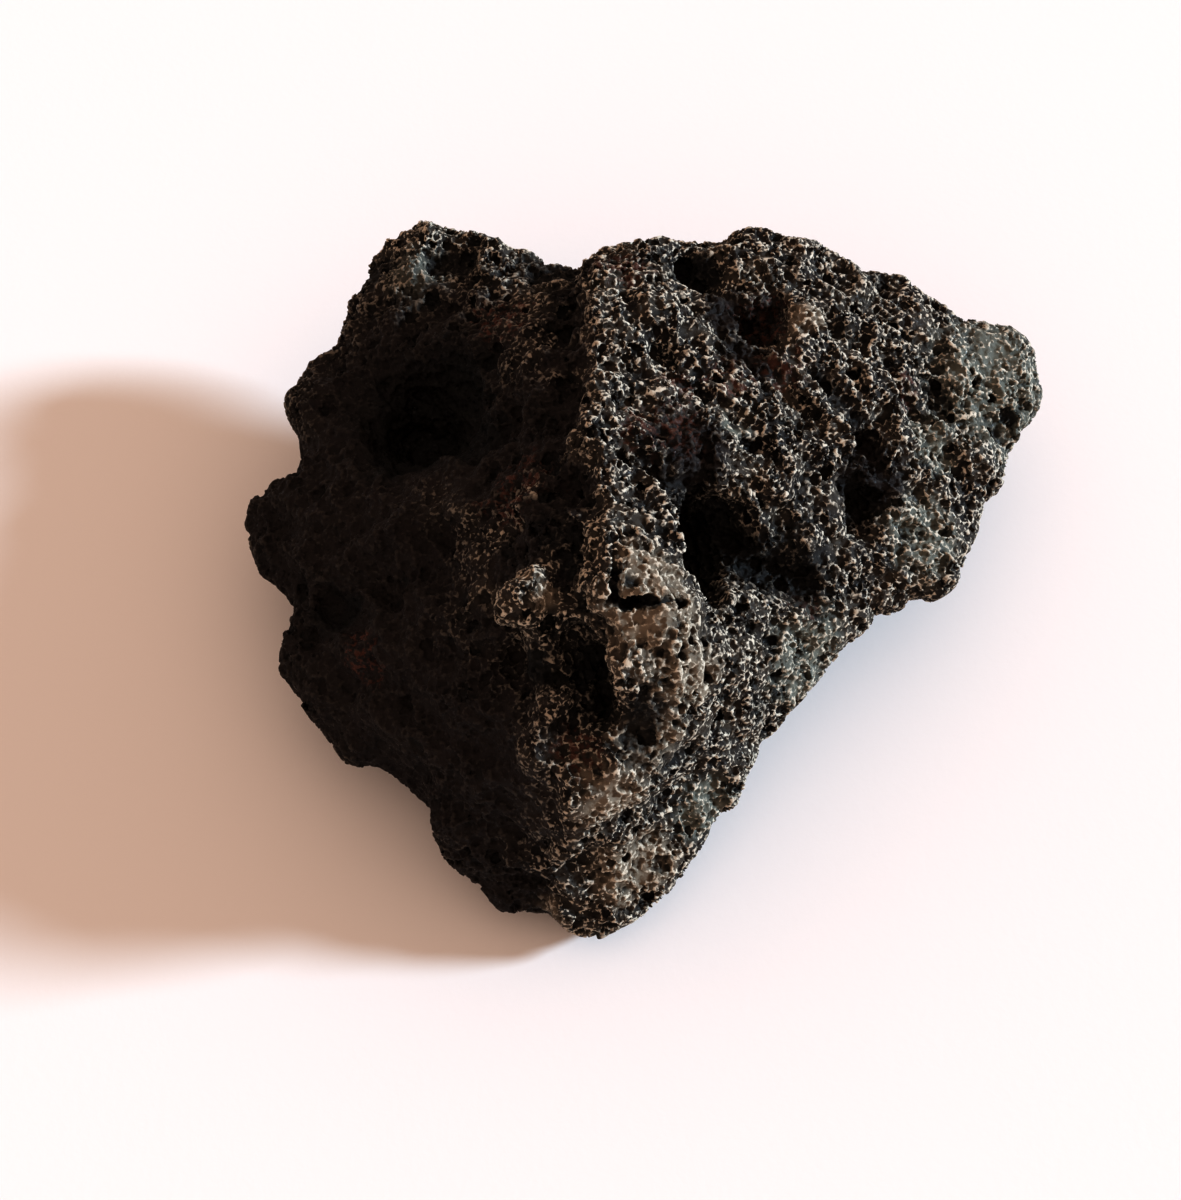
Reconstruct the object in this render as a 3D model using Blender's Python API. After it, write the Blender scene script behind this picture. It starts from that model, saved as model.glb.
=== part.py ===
"""A lava rock: one hand-sized lump of dark, bubbly basalt.

The rock is a fan-shaped wedge with a high crest. The crest runs from a blunt cliff at the back to a
pointed foot at the front. A steep face falls to the left of it, a broad pitted slope to the right,
and the underside is cut in all round, down to the small flat spot that the rock rests on.

Lengths are millimetres until the last step. X runs to the right, Y to the back and Z up from the
table, and the origin is on the table under the middle of the rock.
"""
import bmesh
import bpy
import numpy as np
from mathutils import Vector, noise
from mathutils.bvhtree import BVHTree

MM = 0.001

# Driving dimensions: the rock's own length, depth and height
LENGTH = 80.7
DEPTH = 71.9
HEIGHT = 34.5

# The point that the surface is measured from, and how softly it bends at each measured point
HEART = (-1.0, 1.0, 13.0)
SURVEY_ROUNDING = 0.06

# Swells of the whole surface: wavelength and height
SWELLS = [(13.0, 0.9), (6.5, 0.55), (3.4, 0.32)]

# Hollows have steep walls and lumps have round tops. Both have uneven outlines.
HOLLOW_WALL = 2.6
LUMP_ROUNDING = 1.2
RAGGED_SHIFT = 1.5
RAGGED_SCALE = 3.6

# Scattered bubbles: how many, their range of width, and depth as a share of the width
BUBBLE_COUNT = 230
BUBBLE_WIDTHS = (2.4, 5.0)
BUBBLE_STRETCH = (0.8, 1.4)
BUBBLE_DEPTH = 0.34
BUBBLE_RAGGEDNESS = 0.6
BUBBLE_FLOOR = 2.5
BUBBLE_SEED = 11

# Mesh sizes
BALL_SUBDIVISIONS = 7
VOXEL = 0.9
TRIANGLE_TARGET = 9400
CUT_GAP = 0.001
MERGE_GAP = 0.02
SKY = 100.0

# The widest outline, anticlockwise from the knob at the back left: x, y and height above the table.
RIM = [
    (-23.0, 34.5, 19.5),
    (-19.0, 29.5, 20.5),
    (-16.0, 30.5, 21.5),
    (-11.0, 23.0, 23.0),
    (-5.0, 26.5, 25.5),
    (1.0, 27.0, 26.0),
    (8.5, 29.0, 25.5),
    (15.5, 28.5, 24.5),
    (24.5, 27.5, 21.5),
    (30.0, 25.5, 18.5),
    (34.5, 24.5, 16.5),
    (39.5, 22.5, 14.5),
    (40.5, 18.0, 13.0),
    (38.0, 13.0, 12.0),
    (35.5, 8.5, 11.0),
    (32.0, 3.0, 10.0),
    (30.0, -2.5, 12.0),
    (23.0, -4.5, 11.0),
    (19.5, -9.0, 10.5),
    (15.0, -14.0, 10.0),
    (9.5, -19.5, 8.5),
    (7.5, -24.0, 8.0),
    (3.0, -29.5, 6.5),
    (-0.5, -33.5, 4.0),
    (-5.5, -36.0, 2.5),
    (-9.0, -34.0, 2.5),
    (-14.5, -34.5, 3.5),
    (-19.0, -30.0, 5.0),
    (-23.0, -24.0, 6.5),
    (-29.5, -20.5, 8.0),
    (-33.5, -15.0, 9.0),
    (-36.5, -10.5, 9.5),
    (-35.5, -4.0, 10.0),
    (-39.5, 0.5, 11.0),
    (-39.0, 5.0, 12.0),
    (-34.5, 8.5, 13.0),
    (-37.0, 16.0, 14.0),
    (-34.0, 19.0, 15.5),
    (-29.5, 27.0, 18.0),
    (-26.0, 30.0, 19.5),
]

# The crest, from the cliff at the back to the foot.
CREST = [
    (-5.5, 23.0, 27.0),
    (-5.5, 14.0, 29.5),
    (-5.0, 3.5, 31.5),
    (-4.5, -4.0, 32.5),
    (-2.5, -12.0, 33.0),
    (-0.5, -17.5, 32.5),
    (-2.0, -22.5, 30.0),
    (-5.0, -25.5, 25.5),
    (-6.5, -28.5, 20.5),
    (-7.5, -31.5, 13.0),
]

# The broad slope on the right of the crest, row by row from the back to the foot.
RIGHT_SLOPE = [
    (4.5, 23.0, 26.0),
    (19.5, 22.0, 23.5),
    (10.0, 16.5, 26.0),
    (31.0, 18.5, 18.5),
    (35.5, 16.5, 16.0),
    (24.0, 14.0, 21.5),
    (15.5, 9.5, 24.5),
    (6.0, 7.0, 28.0),
    (26.0, 7.0, 18.5),
    (18.5, 1.5, 19.5),
    (27.5, 1.0, 13.0),
    (9.5, -1.5, 24.5),
    (4.0, -6.0, 26.0),
    (19.0, -7.0, 15.5),
    (12.0, -7.5, 21.0),
    (2.5, -12.5, 29.0),
    (9.5, -15.0, 19.5),
    (6.0, -20.0, 18.0),
    (3.0, -24.0, 13.0),
    (1.5, -28.0, 9.0),
]

# The steep face on the left of the crest, row by row from the back to the foot.
LEFT_FACE = [
    (-23.0, 27.0, 20.0),
    (-16.5, 22.5, 22.5),
    (-10.5, 20.0, 25.5),
    (-31.0, 15.0, 16.5),
    (-22.5, 11.5, 17.0),
    (-14.5, 11.5, 24.5),
    (-32.5, 8.0, 15.0),
    (-37.0, 3.0, 13.0),
    (-30.0, 0.0, 17.0),
    (-21.5, -1.5, 22.0),
    (-13.0, -4.5, 26.5),
    (-32.5, -11.5, 12.0),
    (-26.0, -11.5, 17.0),
    (-18.5, -12.0, 22.0),
    (-10.0, -13.5, 29.0),
    (-28.5, -18.0, 11.0),
    (-6.0, -18.5, 27.5),
    (-20.5, -20.0, 17.5),
    (-12.0, -20.5, 23.0),
    (-22.0, -24.0, 8.5),
    (-9.0, -24.5, 22.5),
    (-14.0, -26.5, 16.0),
    (-10.5, -30.0, 12.0),
    (-16.0, -31.5, 6.5),
    (-8.5, -33.0, 6.0),
]

# The underside dips just below the table, where the flat spot is cut.
UNDERSIDE = [
    (-1.0, 1.0, -0.4),
    (12.0, 7.0, 0.4),
    (-13.0, 5.0, 0.4),
    (2.0, 14.0, 0.6),
    (-4.0, -11.0, 0.8),
    (20.0, 15.0, 3.0),
    (30.0, 16.0, 6.5),
    (12.0, 19.0, 5.5),
    (6.0, 24.0, 13.0),
    (-8.0, 22.0, 9.0),
    (-20.0, 25.0, 9.5),
    (-28.0, 13.0, 6.0),
    (-27.0, 2.0, 4.0),
    (-22.0, -11.0, 3.0),
    (-13.0, -22.0, 2.4),
    (-5.0, -30.0, 1.0),
    (5.0, -15.0, 2.6),
    (15.0, -4.0, 3.4),
    (25.0, 4.0, 6.0),
]

# Hollows seen from above: x, y, width along X, length along Y and depth.
HOLLOWS = {
    "deep hollow": (-22.0, 11.0, 11.5, 12.5, 5.5),
    "lobe of the deep hollow": (-25.0, 6.5, 5.0, 4.5, 2.0),
    "left pit": (-30.0, -6.5, 5.5, 4.5, 2.8),
    "shoulder pit": (-36.0, 1.0, 3.0, 3.0, 1.4),
    "belly pit": (-13.0, -17.5, 5.0, 5.0, 3.4),
    "lower left pit": (-23.0, -17.5, 4.0, 4.5, 2.4),
    "foot slit": (-14.0, -29.0, 7.5, 2.4, 2.0),
    "foot pit": (-15.5, -31.5, 4.0, 2.4, 1.0),
    "bowl below the crest": (-6.0, -20.0, 7.5, 10.5, 4.0),
    "rust pocket": (-6.0, -26.0, 4.0, 4.6, 2.0),
    "back bowl": (5.0, 22.5, 6.2, 5.0, 3.2),
    "red hollow": (10.5, 17.5, 5.0, 6.6, 2.5),
    "crown hollow": (1.0, 11.5, 3.4, 6.0, 2.4),
    "red crown pit": (-1.5, -1.5, 4.0, 3.8, 1.5),
    "valley": (5.0, -5.5, 9.5, 12.0, 5.0),
    "valley arm": (12.0, -7.5, 12.5, 6.0, 3.6),
    "valley head": (9.5, -2.5, 7.0, 4.6, 2.2),
    "great pit": (20.5, 1.0, 4.4, 6.0, 3.6),
    "ledge pit": (20.5, 6.5, 4.2, 4.0, 2.8),
    "east pit": (25.5, 4.0, 2.8, 3.0, 1.6),
    "low east pit": (25.0, 1.0, 2.6, 2.4, 1.3),
    "scarp pit": (23.0, 15.5, 3.2, 4.4, 2.5),
    "north east pit": (28.5, 19.0, 2.8, 3.8, 2.0),
    "tip pit": (28.0, 13.0, 4.0, 4.2, 2.0),
    "tip rim pit": (29.0, 8.5, 2.8, 4.6, 1.6),
    "north pit": (21.0, 21.0, 6.0, 3.0, 1.6),
    "rim notch": (21.5, -4.5, 5.5, 3.0, 2.0),
    "south rim pit": (7.5, -19.0, 3.0, 3.4, 2.0),
    "middle pit": (15.0, 8.5, 6.0, 4.4, 1.5),
    "pit below the middle": (18.0, -2.5, 4.5, 4.2, 1.8),
    "flank pit": (10.0, -13.0, 5.0, 3.2, 1.5),
    "brow pit": (-8.0, -10.0, 3.0, 3.0, 1.5),
    "left brow pit": (-13.0, 6.0, 3.2, 3.2, 1.2),
    "low left pit": (-30.0, -14.5, 5.0, 5.0, 1.5),
    "north west pit": (-27.0, 23.5, 3.2, 5.0, 1.5),
    "knob cleft": (-21.0, 28.0, 2.4, 4.6, 1.5),
}

# Lumps seen from above: x, y, width along X, length along Y and height.
LUMPS = {
    "back knob": (-24.0, 28.5, 4.0, 6.0, 1.6),
    "nodule": (-10.0, -14.0, 5.2, 7.6, 2.8),
    "shard": (-5.0, -14.5, 2.8, 5.0, 1.5),
    "back ridge": (-0.5, 17.0, 9.0, 4.0, 1.3),
    "glint lump": (14.5, 18.5, 3.6, 5.2, 1.6),
    "grey chip": (6.5, 4.0, 2.6, 3.4, 1.0),
    "middle lump": (12.0, 0.5, 6.2, 6.0, 1.4),
    "rim lump": (25.5, 0.0, 6.0, 6.0, 0.9),
    "low lump": (-15.0, -25.0, 5.0, 3.4, 1.0),
    "lower nodule": (-10.0, -23.5, 5.6, 6.6, 1.6),
    "small lump": (-13.5, -15.5, 3.0, 3.0, 0.9),
    "foot ridge": (-6.5, -28.5, 5.0, 9.0, 1.6),
    "foot lump": (-6.5, -32.0, 4.0, 4.0, 0.8),
    "foot nub": (-9.0, -33.5, 2.4, 3.2, 0.9),
    "scarp": (22.0, 13.0, 3.0, 7.5, 1.1),
    "upper scarp": (19.0, 19.5, 5.0, 3.4, 1.0),
}

# The slab on the crest stands proud of what is round it, with a crisp right edge: corners in plan.
SLAB = [
    (-5.0, -3.5),
    (-2.0, -3.5),
    (0.5, -5.5),
    (2.0, -10.0),
    (1.0, -12.5),
    (4.0, -13.5),
    (6.0, -16.5),
    (5.0, -20.0),
    (1.5, -21.5),
    (-3.0, -18.5),
    (-5.0, -14.5),
    (-5.5, -6.0),
]
SLAB_RISE = 1.3
SLAB_EDGE = 1.0
SLAB_FLOOR = 20.0
SLAB_PUSH = (0.35, 0.0, 0.94)

# Seeds that keep the noise of each step apart
SWELL_NOISE = 7.3
FORM_NOISE = 3.1
SLAB_NOISE = 1.7
BUBBLE_NOISE = 5.7
AXIS_NOISE = 11.0


def clear_scene():
    for obj in list(bpy.context.scene.objects):
        bpy.data.objects.remove(obj, do_unlink=True)


def unit_rows(rows):
    return rows / np.linalg.norm(rows, axis=1)[:, None]


def kernel(gaps):
    return np.sqrt(gaps ** 2 + SURVEY_ROUNDING ** 2)


def fit_reach(points):
    """Weights that give each measured direction from the heart its distance from the heart."""
    rays = points - np.array(HEART)
    reach = np.linalg.norm(rays, axis=1)
    ways = unit_rows(rays)
    gaps = np.linalg.norm(ways[:, None] - ways[None], axis=2)
    count = len(points)
    equations = np.zeros((count + 4, count + 4))
    equations[:count, :count] = kernel(gaps)
    equations[:count, count] = 1.0
    equations[:count, count + 1:] = ways
    equations[count, :count] = 1.0
    equations[count + 1:, :count] = ways.T
    target = np.zeros(count + 4)
    target[:count] = reach
    return ways, np.linalg.solve(equations, target)


def reach_of(directions, ways, weights):
    count = len(ways)
    gaps = np.linalg.norm(directions[:, None] - ways[None], axis=2)
    return kernel(gaps) @ weights[:count] + weights[count] + directions @ weights[count + 1:]


def surveyed_ball():
    """A fine ball drawn out to the measured points."""
    survey = np.array(RIM + CREST + RIGHT_SLOPE + LEFT_FACE + UNDERSIDE)
    ways, weights = fit_reach(survey)
    shape = bmesh.new()
    bmesh.ops.create_icosphere(shape, subdivisions=BALL_SUBDIVISIONS, radius=1.0)
    directions = unit_rows(np.array([v.co for v in shape.verts]))
    reach = reach_of(directions, ways, weights)
    for vert, direction, distance in zip(shape.verts, directions, reach):
        vert.co = Vector(np.array(HEART) + direction * distance)
    return shape


def points_and_normals(shape):
    shape.normal_update()
    points = np.array([v.co for v in shape.verts])
    normals = np.array([v.normal for v in shape.verts])
    return points, normals


def move_points(shape, points):
    for vert, point in zip(shape.verts, points):
        vert.co = point


def noise_at(points, wavelength, offset):
    """Smooth noise between about -1 and 1 at each point."""
    shift = Vector((offset, -offset, 2.0 * offset))
    return np.array([noise.noise(Vector(p) / wavelength + shift) for p in points])


def swell(shape):
    """Low rounded swells over the whole rock."""
    points, normals = points_and_normals(shape)
    rise = np.zeros(len(points))
    for index, (wavelength, height) in enumerate(SWELLS):
        rise += height * noise_at(points, wavelength, SWELL_NOISE * index)
    move_points(shape, points + normals * rise[:, None])


def surface_from_above(tree, x, y):
    place, normal, _, _ = tree.ray_cast(Vector((x, y, SKY)), Vector((0.0, 0.0, -1.0)))
    return np.array(place), np.array(normal)


def ragged_shift(points, offset):
    """A small sideways shift for each point, which makes every outline uneven."""
    parts = [noise_at(points, RAGGED_SCALE, offset + AXIS_NOISE * axis) for axis in range(3)]
    return RAGGED_SHIFT * np.stack(parts, axis=1)


def spread(points, place, normal, width, length, ragged):
    """How far each point lies from a spot, in units of the spot's own half sizes."""
    across = np.array((1.0, 0.0, 0.0)) - normal * normal[0]
    across /= np.linalg.norm(across)
    along = np.cross(normal, across)
    steps = points - place + ragged
    return np.sqrt(
        (steps @ across / (width / 2)) ** 2
        + (steps @ along / (length / 2)) ** 2
        + (steps @ normal / max(width, length)) ** 2
    )


def cut_hollow(points, ragged, place, normal, width, length, depth):
    reach = spread(points, place, normal, width, length, ragged)
    inside = np.clip(1.0 - reach ** HOLLOW_WALL, 0.0, 1.0)
    return points - normal * (depth * inside)[:, None]


def raise_lump(points, ragged, place, normal, width, length, height):
    reach = spread(points, place, normal, width, length, ragged)
    inside = np.clip(1.0 - reach ** 2, 0.0, 1.0)
    return points + normal * (height * inside ** LUMP_ROUNDING)[:, None]


def carve_named_forms(shape):
    """The hollows and lumps that give the rock its look from a step away."""
    tree = BVHTree.FromBMesh(shape)
    points, _ = points_and_normals(shape)
    ragged = ragged_shift(points, FORM_NOISE)
    for x, y, width, length, height in LUMPS.values():
        place, normal = surface_from_above(tree, x, y)
        points = raise_lump(points, ragged, place, normal, width, length, height)
    for x, y, width, length, depth in HOLLOWS.values():
        place, normal = surface_from_above(tree, x, y)
        points = cut_hollow(points, ragged, place, normal, width, length, depth)
    move_points(shape, points)


def distance_into(outline, points):
    """How far each point lies inside a closed plan outline, and less than nothing outside."""
    corners = np.array(outline)
    inside = np.zeros(len(points), dtype=bool)
    nearest = np.full(len(points), np.inf)
    for start, end in zip(corners, np.roll(corners, -1, axis=0)):
        edge = end - start
        steps = points[:, :2] - start
        share = np.clip(steps @ edge / (edge @ edge), 0.0, 1.0)
        nearest = np.minimum(nearest, np.linalg.norm(steps - share[:, None] * edge, axis=1))
        if start[1] == end[1]:
            continue
        crosses = (start[1] > points[:, 1]) != (end[1] > points[:, 1])
        where = start[0] + (points[:, 1] - start[1]) * edge[0] / edge[1]
        inside ^= crosses & (points[:, 0] < where)
    return np.where(inside, nearest, -nearest)


def raise_slab(shape):
    points, _ = points_and_normals(shape)
    depth = distance_into(SLAB, points + ragged_shift(points, SLAB_NOISE))
    rise = SLAB_RISE * np.clip(depth / SLAB_EDGE + 0.5, 0.0, 1.0)
    rise[points[:, 2] < SLAB_FLOOR] = 0.0
    move_points(shape, points + rise[:, None] * SLAB_PUSH)


def burst_bubbles(shape):
    """Small burst bubbles scattered over the whole surface by a fixed seed."""
    rng = np.random.default_rng(BUBBLE_SEED)
    tree = BVHTree.FromBMesh(shape)
    points, _ = points_and_normals(shape)
    ragged = BUBBLE_RAGGEDNESS * ragged_shift(points, BUBBLE_NOISE)
    narrow, wide = BUBBLE_WIDTHS
    for _ in range(BUBBLE_COUNT):
        width = narrow + (wide - narrow) * rng.random() ** 2
        length = width * rng.uniform(*BUBBLE_STRETCH)
        way = Vector(unit_rows(rng.normal(size=(1, 3)))[0])
        place, normal, _, _ = tree.ray_cast(Vector(HEART), way)
        if place.z < BUBBLE_FLOOR:
            continue
        depth = width * BUBBLE_DEPTH
        points = cut_hollow(points, ragged, np.array(place), np.array(normal), width, length, depth)
    move_points(shape, points)


def baked(blank):
    """The object's mesh with its modifiers applied, as a bmesh. The object itself goes."""
    evaluated = bpy.context.evaluated_depsgraph_get()
    result = bmesh.new()
    result.from_object(blank, evaluated)
    bpy.data.objects.remove(blank, do_unlink=True)
    return result


def blank_of(shape):
    mesh = bpy.data.meshes.new("blank")
    shape.to_mesh(mesh)
    shape.free()
    blank = bpy.data.objects.new("blank", mesh)
    bpy.context.scene.collection.objects.link(blank)
    return blank


def evened(shape):
    """The same surface as an even net of small faces."""
    blank = blank_of(shape)
    remesh = blank.modifiers.new("even net", "REMESH")
    remesh.mode = "VOXEL"
    remesh.voxel_size = VOXEL
    return baked(blank)


def thinned(shape):
    """The same surface with fewer, larger triangles."""
    bmesh.ops.triangulate(shape, faces=shape.faces)
    share = TRIANGLE_TARGET / len(shape.faces)
    blank = blank_of(shape)
    decimate = blank.modifiers.new("fewer faces", "DECIMATE")
    decimate.ratio = share
    return baked(blank)


def keep_one_body(shape):
    """Keep the largest connected surface, and drop any sealed bubble or loose crumb."""
    waiting = set(shape.verts)
    bodies = []
    while waiting:
        body = [waiting.pop()]
        for vert in body:
            for edge in vert.link_edges:
                other = edge.other_vert(vert)
                if other in waiting:
                    waiting.remove(other)
                    body.append(other)
        bodies.append(body)
    bodies.sort(key=len)
    for body in bodies[:-1]:
        bmesh.ops.delete(shape, geom=body, context="VERTS")


def sit_down(shape):
    """Cut the flat spot at the table's height, and close it."""
    everything = shape.verts[:] + shape.edges[:] + shape.faces[:]
    cut = bmesh.ops.bisect_plane(
        shape, geom=everything, plane_co=(0.0, 0.0, 0.0), plane_no=(0.0, 0.0, -1.0),
        clear_outer=True, dist=CUT_GAP)
    rim = [item for item in cut["geom_cut"] if isinstance(item, bmesh.types.BMEdge)]
    for edge in rim:
        for vert in edge.verts:
            vert.co.z = 0.0
    bmesh.ops.holes_fill(shape, edges=rim)
    bmesh.ops.triangulate(shape, faces=shape.faces)
    bmesh.ops.remove_doubles(shape, verts=shape.verts, dist=MERGE_GAP)
    bmesh.ops.recalc_face_normals(shape, faces=shape.faces)


def to_size(shape):
    """Bring the rock to its stated length, depth and height, over the middle of its own footprint."""
    points, _ = points_and_normals(shape)
    low = points.min(axis=0)
    high = points.max(axis=0)
    middle = (low + high) / 2
    middle[2] = low[2]
    scale = np.array((LENGTH, DEPTH, HEIGHT)) / (high - low)
    move_points(shape, (points - middle) * scale)


def basalt():
    material = bpy.data.materials.new("vesicular_basalt")
    material.use_nodes = True
    shader = material.node_tree.nodes["Principled BSDF"]
    shader.inputs["Base Color"].default_value = (0.045, 0.041, 0.036, 1.0)
    shader.inputs["Roughness"].default_value = 0.85
    shader.inputs["Metallic"].default_value = 0.0
    return material


def lava_rock():
    shape = surveyed_ball()
    swell(shape)
    carve_named_forms(shape)
    raise_slab(shape)
    shape = evened(shape)
    burst_bubbles(shape)
    shape = evened(shape)
    keep_one_body(shape)
    shape = thinned(shape)
    sit_down(shape)
    keep_one_body(shape)
    to_size(shape)
    bmesh.ops.scale(shape, vec=(MM, MM, MM), verts=shape.verts)
    mesh = bpy.data.meshes.new("lava_rock")
    shape.to_mesh(mesh)
    shape.free()
    mesh.materials.append(basalt())
    rock = bpy.data.objects.new("lava_rock", mesh)
    bpy.context.scene.collection.objects.link(rock)


def main():
    clear_scene()
    lava_rock()


main()
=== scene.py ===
"""Lava rock: the looks of one hand-sized lump of dark, bubbly basalt on a pale table.

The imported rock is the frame. Its surface is copied into ever finer nets, and the crust is carved in
them from coarse to fine: ledges, hollows and cracks first, then burst bubbles, then the foam between
them. Lengths are millimetres inside the carving functions, because bubbles are measured that way,
and metres everywhere else.
"""

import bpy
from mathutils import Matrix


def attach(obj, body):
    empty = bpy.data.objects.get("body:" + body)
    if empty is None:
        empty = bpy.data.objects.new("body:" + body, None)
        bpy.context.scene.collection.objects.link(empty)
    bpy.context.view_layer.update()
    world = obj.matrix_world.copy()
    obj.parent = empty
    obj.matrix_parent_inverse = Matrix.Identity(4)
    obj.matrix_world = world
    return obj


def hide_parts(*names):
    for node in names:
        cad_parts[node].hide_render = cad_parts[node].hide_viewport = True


bl_info = {
    "name": "Lava rock",
    "version": (1, 0, 0),
    "blender": (4, 5, 0),
    "location": "3D View > Sidebar > Lava rock",
    "description": "Carves the crust of a lump of lava round its packed solid and sets it on a pale table",
    "category": "Add Mesh",
}

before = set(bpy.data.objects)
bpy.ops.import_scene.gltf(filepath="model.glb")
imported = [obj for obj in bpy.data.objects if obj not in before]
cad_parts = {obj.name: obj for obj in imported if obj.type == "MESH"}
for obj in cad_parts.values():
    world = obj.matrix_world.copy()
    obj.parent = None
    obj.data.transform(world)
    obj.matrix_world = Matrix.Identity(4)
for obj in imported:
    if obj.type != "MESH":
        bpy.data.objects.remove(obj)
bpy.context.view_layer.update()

import itertools
import math

import bmesh
import bpy
import numpy as np
from bpy.props import FloatProperty, FloatVectorProperty, IntProperty, PointerProperty
from bpy.types import Operator, Panel, PropertyGroup
from mathutils import Vector
from mathutils.bvhtree import BVHTree

MM = 0.001
NODE = "lava_rock"

# Each step of the carving has its own distance from this seed
SEED = 5

# Nets that the crust is carved in, from coarse to fine, in mm
FORM_NET = 0.30
BUBBLE_NET = 0.19
FOAM_NET = 0.145
FACET_ROUNDING = 6
EDGE_ROUNDING = 3
MERGE_GAP = 0.001

# Sharp-edged knobs of the broken surface: wavelength and height. They run down the slope, drawn out
# by STREAK, and are lower on the flanks. What the foam takes off on the whole is added first.
KNOBS = [(5.0, 0.95), (2.4, 0.60), (1.3, 0.25)]
KNOB_TOP = 0.6
KNOB_FALL = 2.0
STREAK = 0.45
DOWN_SLOPE = np.array((0.71, -0.71, 0.0))
SWELL = 0.30
FLANK_SHARE = 0.35

# Burst bubbles: their spacing, least and largest radius as shares of it, the share of places that
# hold one, and how far their outlines are bent, as a share of the spacing
CAVITIES = (4.2, 0.15, 0.34, 0.30, 0.15)
BUBBLES = (1.7, 0.22, 0.50, 0.45, 0.16)
FOAM = [(0.66, 0.35, 0.90, 1.0, 0.20), (0.38, 0.35, 0.80, 1.0, 0.20)]
BUBBLE_BEND = 0.6
DEEPEST = 1.0

# The foam's depth comes and goes: wavelength, middle, spread and least share
FOAM_PATCHES = (2.8, 0.85, 0.8, 0.35)

# How far the outlines of forms, cracks and tints are bent, and over what distance
COARSE_BEND = (1.2, 3.6)
FINE_BEND = (0.5, 1.4)
CRACK_BEND = (0.3, 1.0)
TINT_BEND = (1.3, 2.2)

# How much the calm and the smooth places take off bubbles, knobs and foam
CALM_BUBBLES = 0.5
SMOOTH_KNOBS = 0.7
SMOOTH_BUBBLES = 0.9
SMOOTH_FOAM = 0.6

# Cracks: the points they run through, width and depth. They lie above one level.
CRACK_LEVEL = 25.0
CRACKS = [
    ([(-3.9, -12.9), (-3.8, -16.3)], 0.60, 2.2),
    ([(-4.0, -16.3), (-1.4, -16.2), (2.2, -15.2)], 0.66, 2.2),
]

# Ledges and thin ridges: the points they run through, width and height
RIDGES = [
    ([(-5.0, -3.0), (-2.0, -2.6), (0.4, -5.2), (1.2, -7.4), (2.2, -10.4)], 0.9, 0.9),
    ([(0.6, -12.6), (2.8, -12.4), (4.2, -14.0), (5.4, -15.4), (5.0, -18.2)], 0.9, 0.8),
    ([(5.4, -12.8), (6.3, -14.6), (5.6, -17.8)], 0.5, 1.0),
    ([(17.0, 21.4), (20.9, 19.1), (22.1, 13.2), (23.6, 11.4), (24.6, 8.5)], 1.2, 0.9),
    ([(17.0, 6.6), (20.2, 5.2)], 0.9, 0.9),
    ([(18.0, -5.4), (20.0, -3.8), (24.4, -4.0)], 0.8, 0.8),
    ([(-5.2, 25.0), (-4.8, 18.4), (-5.0, 12.0), (-5.1, 3.6), (-4.6, -1.3)], 1.8, 1.0),
    ([(-8.4, 24.0), (-8.4, 14.0), (-8.6, 4.0), (-8.0, -2.0)], 2.4, -0.8),
    ([(-4.2, -5.0), (-3.9, -10.0), (-3.9, -12.4)], 1.0, 0.6),
    ([(-7.4, -4.0), (-7.2, -11.0)], 2.0, -0.8),
    ([(-3.4, -17.0), (-2.8, -19.2), (-2.2, -21.4)], 1.4, 1.0),
    ([(-6.6, -26.5), (-7.8, -30.4), (-8.2, -33.0)], 2.2, 1.0),
    ([(1.8, -1.2), (3.0, -4.5), (3.8, -8.0), (4.0, -10.5)], 2.6, -2.2),
    ([(-30.0, -4.0), (-23.6, -1.9), (-15.9, -2.1), (-11.0, -4.4)], 2.2, 0.9),
    ([(-32.0, -8.4), (-27.0, -7.4), (-22.0, -7.6)], 2.2, -1.0),
]

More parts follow.
